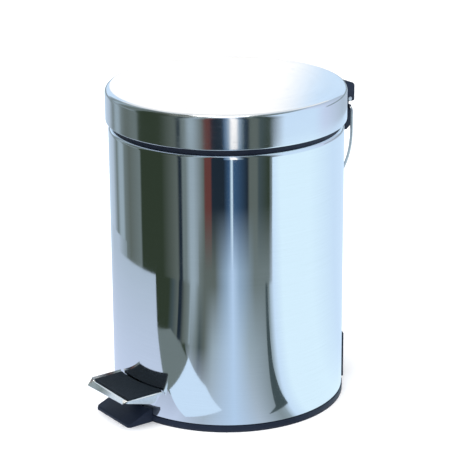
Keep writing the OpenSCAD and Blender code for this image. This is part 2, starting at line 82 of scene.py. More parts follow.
def make_camera():
    """A long lens that looks down on the bin from the pedal's right."""
    data = bpy.data.cameras.new("camera")
    data.lens = LENS_MM
    data.sensor_width = SENSOR_MM
    data.clip_start = 0.05
    camera = bpy.data.objects.new("camera", data)
    bpy.context.scene.collection.objects.link(camera)
    aim = (CAMERA_TARGET - CAMERA_AT).to_track_quat("-Z", "Y").to_matrix()
    turned = aim @ Matrix.Rotation(CAMERA_ROLL, 3, "Z")
    camera.matrix_world = Matrix.Translation(CAMERA_AT) @ turned.to_4x4()
    bpy.context.scene.camera = camera


make_camera()

# ------------------------------------------------------------------ node material helpers


class Shader:
    """A small builder for one material's node tree."""

    def __init__(self, name):
        self.material = bpy.data.materials.new(name)
        self.material.use_nodes = True
        self.tree = self.material.node_tree
        self.nodes = self.tree.nodes
        self.surface = self.nodes["Principled BSDF"]

    def add(self, kind, **settings):
        """A new node, with its settings."""
        node = self.nodes.new(kind)
        for key, value in settings.items():
            setattr(node, key, value)
        return node

    def link(self, source, target):
        self.tree.links.new(source, target)

    def put(self, socket, value):
        """Connect a socket to another socket, or give it a value."""
        if isinstance(value, bpy.types.NodeSocket):
            self.link(value, socket)
        else:
            socket.default_value = value

    def set(self, socket, value):
        """Give the surface shader's socket a value or an input."""
        self.put(self.surface.inputs[socket], value)

    def place(self):
        """Coordinates fixed to the object, in metres."""
        return self.add("ShaderNodeTexCoord").outputs["Object"]

    def math(self, operation, a, b=0.0, c=0.0):
        node = self.add("ShaderNodeMath", operation=operation)
        for socket, value in zip(node.inputs, (a, b, c)):
            self.put(socket, value)
        return node.outputs[0]

    def stretch(self, vector, scale):
        node = self.add("ShaderNodeVectorMath", operation="MULTIPLY")
        self.put(node.inputs[0], vector)
        node.inputs[1].default_value = scale
        return node.outputs[0]

    def noise(self, vector, scale, detail=3.0, roughness=0.5):
        node = self.add("ShaderNodeTexNoise")
        self.put(node.inputs["Vector"], vector)
        node.inputs["Scale"].default_value = scale
        node.inputs["Detail"].default_value = detail
        node.inputs["Roughness"].default_value = roughness
        return node.outputs["Fac"]

    def spread(self, value, low, high, to_low=0.0, to_high=1.0):
        """A value rescaled from one range to another."""
        node = self.add("ShaderNodeMapRange")
        self.put(node.inputs["Value"], value)
        for name, number in (("From Min", low), ("From Max", high), ("To Min", to_low), ("To Max", to_high)):
            node.inputs[name].default_value = number
        return node.outputs["Result"]

    def blend(self, factor, a, b, mode="MIX"):
        node = self.add("ShaderNodeMix", data_type="RGBA", blend_type=mode)
        self.put(node.inputs["Factor"], factor)
        for socket, value in zip((node.inputs[6], node.inputs[7]), (a, b)):
            if isinstance(value, tuple):
                value = (*value[:3], 1.0)
            self.put(socket, value)
        return node.outputs[2]

    def bump(self, height, strength, distance):
        """Add fine relief on top of any relief the surface already has."""
        node = self.add("ShaderNodeBump")
        node.inputs["Strength"].default_value = strength
        node.inputs["Distance"].default_value = distance
        self.put(node.inputs["Height"], height)
        if self.surface.inputs["Normal"].is_linked:
            self.link(self.surface.inputs["Normal"].links[0].from_socket, node.inputs["Normal"])
        self.link(node.outputs["Normal"], self.surface.inputs["Normal"])

    def around(self):
        """Coordinates that run round the bin's axis: arc length, height and radius, in metres."""
        split = self.add("ShaderNodeSeparateXYZ")
        self.put(split.inputs[0], self.place())
        x, y, z = split.outputs
        angle = self.math("ARCTAN2", y, x)
        join = self.add("ShaderNodeCombineXYZ")
        self.put(join.inputs[0], self.math("MULTIPLY", angle, BODY_R))
        self.put(join.inputs[1], z)
        squares = self.math("ADD", self.math("POWER", x, 2.0), self.math("POWER", y, 2.0))
        self.put(join.inputs[2], self.math("SQRT", squares))
        return join.outputs[0]


def polished_steel(name, roughness, haze, wave):
    """Mirror-finished stainless sheet: hairlines round the drum, faint smears and a slight waviness."""
    shade = Shader(name)
    shade.set("Metallic", 1.0)
    skin = shade.around()
    hairline = shade.noise(shade.stretch(skin, (18.0, 2600.0, 18.0)), 1.0, 4.0, 0.6)
    smear = shade.noise(shade.place(), 16.0, 3.0, 0.55)
    scuff = shade.noise(shade.stretch(skin, (60.0, 900.0, 60.0)), 1.0, 2.0, 0.7)
    tone = shade.blend(shade.spread(hairline, 0.35, 0.65), (0.765, 0.795, 0.82), (0.795, 0.825, 0.85))
    shade.set("Base Color", tone)
    rough = shade.spread(smear, 0.35, 0.7, roughness, roughness + haze)
    rough = shade.math("ADD", rough, shade.spread(scuff, 0.62, 0.78, 0.0, haze))
    shade.set("Roughness", rough)
    shade.bump(shade.noise(shade.place(), 9.0, 1.0), 1.0, wave)
    shade.bump(hairline, 0.1, 0.000004)
    return shade.material


def chrome_plate(name, dull, bright):
    """Bright plated steel with small pits and handling marks."""
    shade = Shader(name)
    shade.set("Metallic", 1.0)
    spot = shade.noise(shade.place(), 900.0, 2.0)
    smear = shade.noise(shade.place(), 60.0, 3.0)
    shade.set("Base Color", shade.blend(shade.spread(spot, 0.3, 0.7), dull, bright))
    shade.set("Roughness", shade.spread(smear, 0.3, 0.7, 0.12, 0.24))
    shade.bump(spot, 0.2, 0.00003)
    return shade.material


def zinc_steel(name):
    """Zinc-plated pressings: greyer, with a fine crystalline mottle."""
    shade = Shader(name)
    shade.set("Metallic", 1.0)
    mottle = shade.noise(shade.place(), 420.0, 4.0, 0.7)
    dull, bright = (0.46, 0.47, 0.48), (0.62, 0.63, 0.63)
    shade.set("Base Color", shade.blend(shade.spread(mottle, 0.3, 0.7), dull, bright))
    shade.set("Roughness", shade.spread(mottle, 0.3, 0.7, 0.28, 0.42))
    shade.bump(mottle, 0.25, 0.00004)
    return shade.material


def moulded(name, dark, light, roughness, grain_scale=2400.0, grain=0.00006):
    """Injection-moulded plastic: a fine spark-eroded grain with faint flow and dust."""
    shade = Shader(name)
    fine = shade.noise(shade.place(), grain_scale, 2.0, 0.6)
    flow = shade.noise(shade.place(), 22.0, 4.0, 0.6)
    tone = shade.blend(shade.spread(flow, 0.3, 0.75), dark, light)
    shade.set("Base Color", tone)
    shade.set("Roughness", shade.spread(fine, 0.3, 0.7, roughness - 0.06, roughness + 0.08))
    shade.set("Specular IOR Level", 0.22)
    shade.bump(fine, 0.5, grain)
    return shade.material


STEEL = polished_steel("polished_steel", 0.035, 0.05, 0.0002)
LID_STEEL = polished_steel("polished_steel_lid", 0.09, 0.10, 0.0002)
CHROME = chrome_plate("chrome_plate", (0.80, 0.79, 0.76), (0.88, 0.87, 0.84))
CHROME_DARK = chrome_plate("chrome_plate_handle", (0.46, 0.47, 0.47), (0.60, 0.60, 0.59))
ZINC = zinc_steel("zinc_steel")
BLACK = moulded("black_plastic", (0.007, 0.013, 0.030), (0.012, 0.020, 0.042), 0.46)
RUBBER = moulded("black_rubber", (0.004, 0.009, 0.015), (0.008, 0.014, 0.022), 0.60, 1600.0, 0.0001)
BUCKET = moulded("bucket_plastic", (0.020, 0.021, 0.024), (0.032, 0.034, 0.038), 0.40)

SLOT_MATERIALS = {
    "polished_steel": STEEL,
    "chrome_plate": CHROME,
    "zinc_steel": ZINC,
    "black_plastic": BLACK,
    "black_rubber": RUBBER,
    "bucket_plastic": BUCKET,
}

# ------------------------------------------------------------------ mesh helpers


def new_piece(name, verts, faces, material):
    """A mesh object made of corners and faces."""
    mesh = bpy.data.meshes.new(name)
    mesh.from_pydata([tuple(v) for v in verts], [], faces)
    mesh.validate()
    mesh.materials.append(material)
    piece = bpy.data.objects.new(name, mesh)
    bpy.context.scene.collection.objects.link(piece)
    return piece


def settle(piece):
    """Apply a piece's modifiers to its mesh."""
    bpy.context.view_layer.update()
    graph = bpy.context.evaluated_depsgraph_get()
    mesh = bpy.data.meshes.new_from_object(piece.evaluated_get(graph))
    piece.modifiers.clear()
    piece.data = mesh


def smooth(piece, sharp_angle=35.0):
    """Smooth shading with edges sharper than the angle kept crisp."""
    mesh = piece.data
    mesh.polygons.foreach_set("use_smooth", [True] * len(mesh.polygons))
    mesh.set_sharp_from_angle(angle=math.radians(sharp_angle))
    mesh.update()


def thicken(piece, thickness):
    """Turn a surface into sheet that is thickness thick, on its inner side."""
    sheet = piece.modifiers.new("sheet", "SOLIDIFY")
    sheet.thickness = thickness
    sheet.offset = -1.0
    sheet.use_even_offset = True
    sheet.use_rim = True
    settle(piece)


def turn_angles(steps, extra=()):
    """Angles round the axis, with extra ones where a hole's edge runs."""
    even = [2 * math.pi * i / steps for i in range(steps)]
    wanted = [a % (2 * math.pi) for a in extra]
    kept = [a for a in even if all(abs(a - b) > math.pi / steps for b in wanted)]
    return sorted(kept + wanted)


def band(row, count, i, after):
    """The four-sided face between two neighbouring rings of count points."""
    return row * count + i, row * count + after, (row + 1) * count + after, (row + 1) * count + i


def lathe(name, profile, material, steps=480, holes=()):
    """Revolve an open profile of (radius, height). A hole is (centre angle, half angle, low, high)."""
    edges = [centre + side * half for centre, half, _, _ in holes for side in (-1, 1)]
    angles = turn_angles(steps, edges)
    count = len(angles)
    verts = []
    for radius, height in profile:
        verts += [(radius * math.cos(a), radius * math.sin(a), height) for a in angles]
    faces = []
    for row in range(len(profile) - 1):
        level = (profile[row][1] + profile[row + 1][1]) / 2
        for i in range(count):
            after = (i + 1) % count
            middle = angles[i] + ((angles[after] - angles[i]) % (2 * math.pi)) / 2
            if any(inside_hole(middle, level, hole) for hole in holes):
                continue
            faces.append(band(row, count, i, after))
    piece = new_piece(name, verts, faces, material)
    shape = bmesh.new()
    shape.from_mesh(piece.data)
    bmesh.ops.remove_doubles(shape, verts=shape.verts, dist=1e-7)
    loose = [v for v in shape.verts if not v.link_faces]
    bmesh.ops.delete(shape, geom=loose, context="VERTS")
    shape.to_mesh(piece.data)
    shape.free()
    return piece


def inside_hole(angle, level, hole):
    """Whether a place on a lathed wall lies in a hole."""
    centre, half, low, high = hole
    away = (angle - centre + math.pi) % (2 * math.pi) - math.pi
    return abs(away) < half and low < level < high


def arc(centre, radius, start, end, steps):
    """Points on an arc in the profile plane, in degrees."""
    points = []
    for i in range(steps + 1):
        a = math.radians(start + (end - start) * i / steps)
        points.append((centre[0] + radius * math.cos(a), centre[1] + radius * math.sin(a)))
    return points


def steps_between(low, high, count):
    """Evenly spaced values from low to high, in count steps."""
    return [low + (high - low) * i / count for i in range(count + 1)]


def stand_for(piece, node):
    """Give a piece its CAD node's body and place in the record."""
    body = next(b for b, members in frame["record"]["behaviour"]["bodies"].items() if node in members)
    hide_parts(node)
    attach(piece, body)


# ------------------------------------------------------------------ steel shells


def body_steel():
    """The drum: a plain tube with a rolled shoulder, slots for the lever and a notch for the crank."""
    roll = 3 * MM  # radius of the shoulder
    top = SHELL_HIGH.z
    low = SHELL_LOW.z
    slot_half, window_half, notch_half = (math.asin(half * MM / BODY_R) for half in (10.5, 14, 10))
    slot = (12 * MM, 33 * MM)
    window_top = 48 * MM
    notch_low = 235.5 * MM
    front, back = -math.pi / 2, math.pi / 2
    lip = 1.1 * MM  # radius of the lower edge
    levels = [slot[0], slot[1], window_top, 100 * MM, 150 * MM, 200 * MM, notch_low]
    profile = arc((BODY_R - lip, low + lip), lip, -50, 0, 5)
    profile += [(BODY_R, z) for z in [low + lip + HOLD, *levels, top - roll - HOLD, top - roll]]
    profile += arc((BODY_R - roll, top - roll), roll, 0, 90, 10)[1:]
    profile += [(BODY_R - roll - SHEET, top)]
    holes = [
        (front, slot_half, *slot),
        (back, window_half, low - MM, window_top),
        (back, notch_half, notch_low, top + MM),
    ]
    piece = lathe("drum_skin", profile, STEEL, 720, holes)
    thicken(piece, SHEET)
    smooth(piece, 40)
    stand_for(piece, "body_shell")


def lid_steel():
    """The lid: a hemmed skirt, a rounded edge and a shallow dome."""
    edge = 5 * MM
    hem = 0.9 * MM
    dome = 4.3 * MM
    rim = LID_HIGH.z - dome
    low = LID_LOW.z
    flat_r = LID_R - edge
    dome_r = (flat_r ** 2 + dome ** 2) / (2 * dome)
    hem_in, hem_flat = 96.9 * MM, 99 * MM
    profile = [(hem_in, low), (hem_flat, low), (LID_R - hem, low)]
    profile += arc((LID_R - hem, low + hem), hem, -90, 0, 6)[1:]
    profile += [(LID_R, z) for z in steps_between(low + hem + HOLD, rim - edge - HOLD, 3)]
    profile += [(LID_R, rim - edge)]
    profile += arc((LID_R - edge, rim - edge), edge, 0, 84, 12)[1:]
    profile += [(r, rim + dome - dome_r + math.sqrt(dome_r ** 2 - r ** 2))
                for r in steps_between(flat_r - 0.2 * MM, 0.4 * MM, 40)]
    piece = lathe("lid_skin", profile, LID_STEEL, 720)
    shape = bmesh.new()
    shape.from_mesh(piece.data)
    crown = [e for e in shape.edges if e.is_boundary and e.verts[0].co.z > rim]
    bmesh.ops.contextual_create(shape, geom=crown)
    shape.to_mesh(piece.data)
    shape.free()
    thicken(piece, SHEET)
    smooth(piece, 40)
    stand_for(piece, "lid_shell")


body_steel()
lid_steel()

# ------------------------------------------------------------------ moulded and pressed parts


def softened(node, name, slot, radius, steps=2):
    """A node's own shape with its faces made whole and its sharp edges rounded."""
    mesh = NODES[node].data.copy()
    piece = bpy.data.objects.new(name, mesh)
    piece.matrix_world = NODES[node].matrix_world
    bpy.context.scene.collection.objects.link(piece)
    mesh.materials.clear()
    mesh.materials.append(SLOT_MATERIALS[slot])
    shape = bmesh.new()
    shape.from_mesh(mesh)
    bmesh.ops.remove_doubles(shape, verts=shape.verts, dist=2e-6)
    bmesh.ops.dissolve_limit(shape, angle_limit=math.radians(0.4), verts=shape.verts, edges=shape.edges)
    for face in shape.faces:
        face.material_index = 0
    shape.to_mesh(mesh)
    shape.free()
    soft = piece.modifiers.new("soft", "BEVEL")
    soft.width = radius
    soft.segments = steps
    soft.limit_method = "ANGLE"
    soft.angle_limit = math.radians(32)
    soft.use_clamp_overlap = True
    soft.harden_normals = False
    settle(piece)
    smooth(piece, 32)
    stand_for(piece, node)
    return piece


SOFTENED = [
    ("base_moulding", "base_tub", "black_plastic", 0.45 * MM, 3),
    ("rubber_feet", "feet_pads", "black_rubber", 0.3 * MM, 2),
    ("collar_ring", "collar_rim", "black_plastic", 0.3 * MM, 2),
    ("lid_buffers", "lid_stops", "black_rubber", 0.1 * MM, 2),
    ("hinge_housing", "hinge_block", "black_plastic", 0.6 * MM, 3),
    ("housing_backing_plates", "housing_washers", "zinc_steel", 0.15 * MM, 2),
    ("housing_screws", "housing_bolts", "zinc_steel", 0.3 * MM, 2),
    ("hinge_pin", "hinge_rod", "zinc_steel", 0.3 * MM, 2),
    ("rear_cover", "rear_guard", "black_plastic", 0.6 * MM, 3),
    ("rear_cover_screws", "rear_guard_bolts", "zinc_steel", 0.25 * MM, 2),
    ("lever_pivot_pin", "lever_axle", "zinc_steel", 0.3 * MM, 2),
    ("lid_hinge_leaf", "lid_bracket", "black_plastic", 0.7 * MM, 3),
    ("lid_backing_plate", "lid_washer_plate", "zinc_steel", 0.15 * MM, 2),
    ("lid_hinge_screws", "lid_bolts", "zinc_steel", 0.3 * MM, 2),
    ("lid_crank_arm", "crank_plate", "zinc_steel", 0.2 * MM, 2),
    ("pedal_lever", "lever_strap", "zinc_steel", 0.3 * MM, 2),
    ("tray_rivets", "tray_fixings", "zinc_steel", 0.3 * MM, 2),
    ("rod_clips", "rod_washers", "zinc_steel", 0.15 * MM, 2),
]


def soften_all():
    """Round the edges of every moulded or pressed part whose CAD shape is kept."""
    for node, name, slot, radius, steps in SOFTENED:
        softened(node, name, slot, radius, steps)


soften_all()

# ------------------------------------------------------------------ pedal


def offset_outline(outline, distance):
    """An outline moved inwards; its points run counter-clockwise."""
    moved = []
    count = len(outline)
    for i in range(count):
        before, here, after = Vector(outline[i - 1]), Vector(outline[i]), Vector(outline[(i + 1) % count])
        first, second = (here - before).normalized(), (after - here).normalized()
        inward = (Vector((-first.y, first.x)) + Vector((-second.y, second.x))).normalized()
        reach = max(0.35, inward.dot(Vector((-first.y, first.x))))
        moved.append(here + inward * distance / reach)
    return moved


def stack(name, loops, material, bottom=True, top=True):
    """Skin a stack of loops that have the same number of points."""
    count = len(loops[0])
    verts = [point for loop in loops for point in loop]
    faces = []
    for row in range(len(loops) - 1):
        for i in range(count):
            after = (i + 1) % count
            faces.append(band(row, count, i, after))
    if bottom:
        faces.append(tuple(reversed(range(count))))
    if top:
        faces.append(tuple(range((len(loops) - 1) * count, len(loops) * count)))
    return new_piece(name, verts, faces, material)


def pedal_outline(left, right, front, corner, clear):
    """Plan of a pedal part: a straight front with round corners and a back that follows the drum."""
    points = []
    for centre_x, start in ((left + corner, 180), (right - corner, 270)):
        points += arc((centre_x, front + corner), corner, start, start + 90, 6)
    along = steps_between(right, left, 36)
    points += [(x, -math.sqrt(clear ** 2 - x ** 2)) for x in along]
    return points


PEDAL_CLEAR = BODY_R + 1.2 * MM  # radius that the pad's hollow back follows
STUD_PITCH = 1.9 * MM
STUD_WIDE = 1.3 * MM
STUD_TALL = 0.28 * MM
STUD_SUNK = 0.05 * MM


def stud(x, y, low, tall):
    """One small four-sided stud with a narrower top: its corners, and its faces by corner number."""
    corners = []
    for half, z in ((STUD_WIDE / 2, low), (STUD_WIDE / 3.4, low + tall)):
        corners += [(x + i * half, y + j * half, z) for i, j in ((-1, -1), (1, -1), (1, 1), (-1, 1))]
    sides = [(i, (i + 1) % 4, 4 + (i + 1) % 4, 4 + i) for i in range(4)]
    return corners, [(3, 2, 1, 0), (4, 5, 6, 7), *sides]


def pad_studs():
    """Rows of studs over the tread, inside a plain border."""
    border = 2.2 * MM
    clear = PEDAL_CLEAR + border
    verts, faces = [], []
    columns = int((PAD_HIGH.x - PAD_LOW.x - 2 * border) / STUD_PITCH)
    first = (PAD_LOW.x + PAD_HIGH.x - columns * STUD_PITCH) / 2
    for i in range(columns + 1):
        x = first + i * STUD_PITCH
        rows = int((-math.sqrt(clear ** 2 - x ** 2) - PAD_LOW.y - border) / STUD_PITCH)
        for j in range(rows + 1):
            y = PAD_LOW.y + border + j * STUD_PITCH
            corners, sides = stud(x, y, PAD_HIGH.z - STUD_SUNK, STUD_TALL)
            faces += [tuple(len(verts) + k for k in side) for side in sides]
            verts += corners
    return verts, faces


def pedal_pad():
    """The rubber tread: a rounded slab with rows of fine raised studs inside a plain border."""
    round_r = 0.7 * MM
    corner = 1.2 * MM
    outline = pedal_outline(PAD_LOW.x, PAD_HIGH.x, PAD_LOW.y, corner, PEDAL_CLEAR)
    loops = [[(p[0], p[1], PAD_LOW.z) for p in outline]]
    for i in range(7):
        turn = math.radians(90 * i / 6)
        inset = offset_outline(outline, round_r * (1 - math.cos(turn)))
        level = PAD_HIGH.z - round_r * (1 - math.sin(turn))
        loops.append([(p[0], p[1], level) for p in inset])
    piece = stack("pedal_tread", loops, RUBBER)
    studs = new_piece("pedal_studs", *pad_studs(), RUBBER)
    shape = bmesh.new()
    shape.from_mesh(piece.data)
    shape.from_mesh(studs.data)
    shape.to_mesh(piece.data)
    shape.free()
    bpy.data.objects.remove(studs)
    smooth(piece, 40)
    stand_for(piece, "pedal_pad")


def flange_edge(y):
    """Height of the side flange's lower edge: a long slope into a round heel."""
    heel_y, heel_r = -107.5 * MM, 6 * MM
    heel_z = TRAY_LOW.z + heel_r
    slope = math.radians(15.2)
    tangent_y = heel_y - heel_r * math.sin(slope)
    if y < tangent_y:
        return heel_z - heel_r * math.cos(slope) + math.tan(slope) * (tangent_y - y)
    if y < heel_y + 0.92 * heel_r:
        return heel_z - math.sqrt(heel_r ** 2 - (y - heel_y) ** 2)
    return heel_z


def pedal_plate():
    """The pressed tray: a flat seat, a sloping apron, a deep flange and a turned-up side."""
    seat = PAD_LOW.z - 0.05 * MM
    left, right = TRAY_LOW.x + 2.6 * MM, TRAY_HIGH.x - 0.05 * MM
    front, corner = PAD_LOW.y - 1.1 * MM, 1.1 * MM
    clear = BODY_R + 1.25 * MM
    back_left = -math.sqrt(clear ** 2 - left ** 2)
    back_right = -math.sqrt(clear ** 2 - right ** 2)
    apron_y = TRAY_LOW.y + 0.1 * MM
    apron_z = seat - 3.4 * MM
    taper = math.tan(math.radians(2.4))
    rim_x, rim_z = TRAY_LOW.x + 0.75 * MM, TRAY_HIGH.z - 0.1 * MM
    chain = []
    for y in steps_between(back_left, front + corner, 8):
        chain.append(((left, y), (rim_x, y, rim_z)))
    for i, point in enumerate(arc((left + corner, front + corner), corner, 180, 270, 6)[1:]):
        on_rim = (rim_x, front + 0.3 * MM, rim_z - 0.3 * MM * i)
        on_apron = (rim_x + 0.1 * MM * i, apron_y, apron_z)
        end = on_rim if i < 2 else on_apron
        chain.append((point, end))
    for x in steps_between(left + 2 * corner, right - corner, 10):
        chain.append(((x, front), (x, apron_y, apron_z + taper * (x - left))))
    for i, point in enumerate(arc((right - corner, front + corner), corner, 270, 360, 6)[1:]):
        share = (i + 1) / 6
        apron_end = Vector((right - corner, apron_y, apron_z + taper * (right - left)))
        flange_end = Vector((right, front + corner, flange_edge(front + corner)))
        chain.append((point, tuple(apron_end.lerp(flange_end, share))))
    for y in steps_between(front + 1.5 * corner, back_right, 26):
        chain.append(((right, y), (right, y, flange_edge(y))))
    back = [(x, -math.sqrt(clear ** 2 - x ** 2)) for x in steps_between(right, left, 30)[1:-1]]
    outline = [point for point, _ in chain] + back
    inner = offset_outline(outline, 0.9 * MM)[:len(chain)]
    inner[0] = Vector((inner[0].x, back_left))
    inner[-1] = Vector((inner[-1].x, back_right))
    loops = []
    for i in range(7):
        t = i / 6
        loop = []
        for (point, end), start in zip(chain, inner):
            knee = Vector((*point, seat))
            after = knee.lerp(Vector(end), 0.28)
            first = Vector((start.x, start.y, seat))
            loop.append(first.lerp(knee, t).lerp(knee.lerp(after, t), t))
        loops.append(loop)
    loops.append([Vector(end) for _, end in chain])
    count = len(chain)
    verts = [v for loop in loops for v in loop] + [(x, y, seat) for x, y in back]
    faces = [tuple(range(count)) + tuple(range(len(loops) * count, len(verts)))]
    for row in range(len(loops) - 1):
        for i in range(count - 1):
            here, below = row * count + i, (row + 1) * count + i
            faces.append((here, below, below + 1, here + 1))
    piece = new_piece("pedal_plate", verts, faces, CHROME)
    thicken(piece, 0.85 * MM)
    smooth(piece, 40)
    stand_for(piece, "pedal_tray")


pedal_pad()
pedal_plate()

# ------------------------------------------------------------------ wires


def tube(name, path, radius, material, sides=20):
    """A round wire along a path of points in metres, its ends slightly domed."""
    points = [Vector(p) for p in path]
    verts = []
    side = None
    for i, here in enumerate(points):
        ahead = (points[min(i + 1, len(points) - 1)] - points[max(i - 1, 0)]).normalized()
        if side is None:
            side = ahead.orthogonal().normalized()
        side = (side - ahead * side.dot(ahead)).normalized()
        other = ahead.cross(side)
        for j in range(sides):
            a = 2 * math.pi * j / sides
            verts.append(here + radius * (math.cos(a) * side + math.sin(a) * other))
    faces = []
    for i in range(len(points) - 1):
        for j in range(sides):
            after = (j + 1) % sides
            faces.append(band(i, sides, j, after))
    faces.append(tuple(reversed(range(sides))))
    faces.append(tuple(range((len(points) - 1) * sides, len(points) * sides)))
    piece = new_piece(name, verts, faces, material)
    ends = piece.modifiers.new("ends", "BEVEL")
    ends.width = 0.25 * radius
    ends.segments = 2
    ends.limit_method = "ANGLE"
    ends.angle_limit = math.radians(60)
    settle(piece)
    smooth(piece, 50)
    return piece


def carry_handle():
    """The hanging hoop: stubs into the housing, legs, and long curves that meet in a tight one."""
    low, high = box_of("carry_bail")
    wire = (high.y - low.y) / 2
    y = (low.y + high.y) / 2
    half = high.x - wire
    top = high.z - wire
    corner = 3.5 * MM
    leg_low = 226 * MM
    leg_arc = 70 * MM
    turn = math.degrees(math.atan2(3, 4))
    tip_x = half - leg_arc * 0.2
    tip_r = tip_x / 0.8
    tip_z = leg_low - 0.6 * leg_arc + 0.6 * tip_r
    right = [(14.9 * MM, top), (18 * MM, top)]
    right += arc((half - corner, top - corner), corner, 90, 0, 8)
    right += [(half, z) for z in steps_between(top - corner - 2 * MM, leg_low + 2 * MM, 4)]
    right += arc((half - leg_arc, leg_low), leg_arc, 0, -turn, 16)
    tip = arc((0, tip_z), tip_r, -turn, -180 + turn, 24)[1:-1]
    left = [(-x, z) for x, z in reversed(right)]
    piece = tube("carry_handle_wire", [(x, y, z) for x, z in right + tip + left], wire, CHROME_DARK)
    stand_for(piece, "carry_bail")


def push_rod():
    """The rod up the back, hooked at both ends."""
    low, high = box_of("push_rod")
    wire = (high.y - low.y) / 2
    y = (low.y + high.y) / 2
    bend = 3 * MM
    bottom, top = low.z + wire, high.z - wire
    end = high.x - 0.01 * MM
    path = [(end, bottom), (bend + MM, bottom)]
    path += arc((bend, bottom + bend), bend, 270, 180, 10)
    path += [(0, z) for z in steps_between(bottom + bend + 2 * MM, top - bend - 2 * MM, 10)]
    path += arc((bend, top - bend), bend, 180, 90, 10)
    path += [(bend + MM, top), (end, top)]
    piece = tube("lift_rod", [(x, y, z) for x, z in path], wire, CHROME)
    stand_for(piece, "push_rod")


def bucket_handle():
    """The bucket's own wire handle, lying against the wall."""
    low, high = box_of("bucket_bail")
    wire = (high.z - low.z) / 2
    z = (low.z + high.z) / 2
    bend = 4 * MM
    hoop = -low.y - wire - bend
    right = [(high.x - 0.01 * MM, 0), (hoop + bend + 2 * MM, 0)]
    right += arc((hoop + bend, -bend), bend, 90, 180, 8)
    left = [(-x, y) for x, y in reversed(right)]
    path = right + arc((0, -bend), hoop, 0, -180, 64)[1:-1] + left
    piece = tube("bucket_handle_wire", [(x, y, z) for x, y in path], wire, CHROME)
    stand_for(piece, "bucket_bail")


carry_handle()
push_rod()
bucket_handle()

# ------------------------------------------------------------------ bucket


def inner_bucket():
    """The lift-out bucket: tapered wall, rolled rim and a raised floor."""
    base_r = 84 * MM
    top_r = 91.8 * MM
    wall = 1.6 * MM
    low, high = BUCKET_LOW.z, BUCKET_HIGH.z
    under_rim = high - 2 * MM
    rim_r = BUCKET_HIGH.x
    rise = (top_r - base_r) / (under_rim - low)

    def outer(z):
        return base_r + rise * (z - low)

    profile = [(60 * MM, low + 1.2 * MM), (64 * MM, low), (base_r - 3 * MM, low)]
    profile += arc((base_r - 3 * MM, low + 3 * MM), 3 * MM, -90, 0, 6)[1:]
    profile += [(outer(z), z) for z in steps_between(low + 6 * MM, under_rim - MM, 8)]
    profile += [(rim_r - 0.8 * MM, under_rim)]
    profile += arc((rim_r - 0.8 * MM, under_rim + 0.8 * MM), 0.8 * MM, -90, 0, 4)[1:]
    profile += arc((rim_r - MM, high - MM), MM, 0, 90, 5)[1:]
    profile += arc((outer(high) - wall + MM, high - MM), MM, 90, 180, 5)
    profile += [(outer(z) - wall, z) for z in steps_between(high - 4 * MM, low + 8 * MM, 8)]
    profile += arc((base_r - wall - 4 * MM, low + 6 * MM), 4 * MM, 0, -90, 6)[1:]
    profile += [(64 * MM, low + 2 * MM), (60 * MM, low + 3.2 * MM), (0.3 * MM, low + 3.2 * MM)]
    piece = lathe("bucket_liner", [(0.3 * MM, low + 1.2 * MM)] + profile, BUCKET, 360)
    shape = bmesh.new()
    shape.from_mesh(piece.data)
    bmesh.ops.holes_fill(shape, edges=[e for e in shape.edges if e.is_boundary])
    bmesh.ops.recalc_face_normals(shape, faces=shape.faces)
    shape.to_mesh(piece.data)
    shape.free()
    smooth(piece, 35)
    stand_for(piece, "bucket")


def bucket_rest():
    """The small ledge inside the bucket that its handle rests on."""
    front = -90.3 * MM
    outline = [(-4 * MM, front), (4 * MM, front), (4 * MM, -84 * MM), (-4 * MM, -84 * MM)]
    wire_low = box_of("bucket_bail")[0].z
    top = wire_low - 0.3 * MM
    levels = [(232 * MM, 0.4), (232.4 * MM, 0.0), (top - 0.4 * MM, 0.0), (top, 0.4)]
    loops = [[(p[0], p[1], z) for p in offset_outline(outline, inset * MM)] for z, inset in levels]
    piece = stack("bucket_ledge", loops, BUCKET)
    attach(piece, "inner_bucket")


inner_bucket()
bucket_rest()

# ------------------------------------------------------------------ studio


def emitter(name, colour):
    """A plain glow of one colour."""
    material = bpy.data.materials.new(name)
    material.use_nodes = True
    nodes = material.node_tree.nodes
    nodes.clear()
    glow = nodes.new("ShaderNodeEmission")
    glow.inputs["Color"].default_value = (*colour, 1.0)
    out = nodes.new("ShaderNodeOutputMaterial")
    material.node_tree.links.new(glow.outputs[0], out.inputs["Surface"])
    return material


def seen(red, green, blue):
    """The light that a card gives off so that steel shows it as this display colour."""
    tint = (0.78, 0.81, 0.835)
    return tuple(((c / 255) ** 2.2) / t for c, t in zip((red, green, blue), tint))


def reflected_only(obj):
    """A studio card: it shows in reflections only, and lights nothing else."""
    obj.visible_camera = False
    obj.visible_diffuse = False
    obj.visible_shadow = False
    obj.visible_transmission = False
    obj.visible_volume_scatter = False


LAYER = 0.4 * MM  # step in height between cards that lie on each other


def flat_card(name, outline, layer, glow):
    """A card lying on the floor; its outline is in millimetres."""
    verts = [(x * MM, y * MM, LAYER * layer) for x, y in outline]
    reflected_only(new_piece("card_" + name, verts, [tuple(range(len(verts)))], glow))


def floor_card(name, outline, colour, layer):
    """A card of one colour lying on the floor."""
    flat_card(name, outline, layer, emitter("card_" + name, seen(*colour)))


def sector(start, end, near, far):
    """Outline of part of a ring round the bin, from angle to angle in degrees, radii in millimetres."""
    steps = max(2, int(abs(end - start) / 3))
    sweep = [math.radians(a) for a in steps_between(start, end, steps)]
    outer = [(far * math.cos(a), far * math.sin(a)) for a in sweep]
    inner = [(near * math.cos(a), near * math.sin(a)) for a in reversed(sweep)]
    return outer + inner


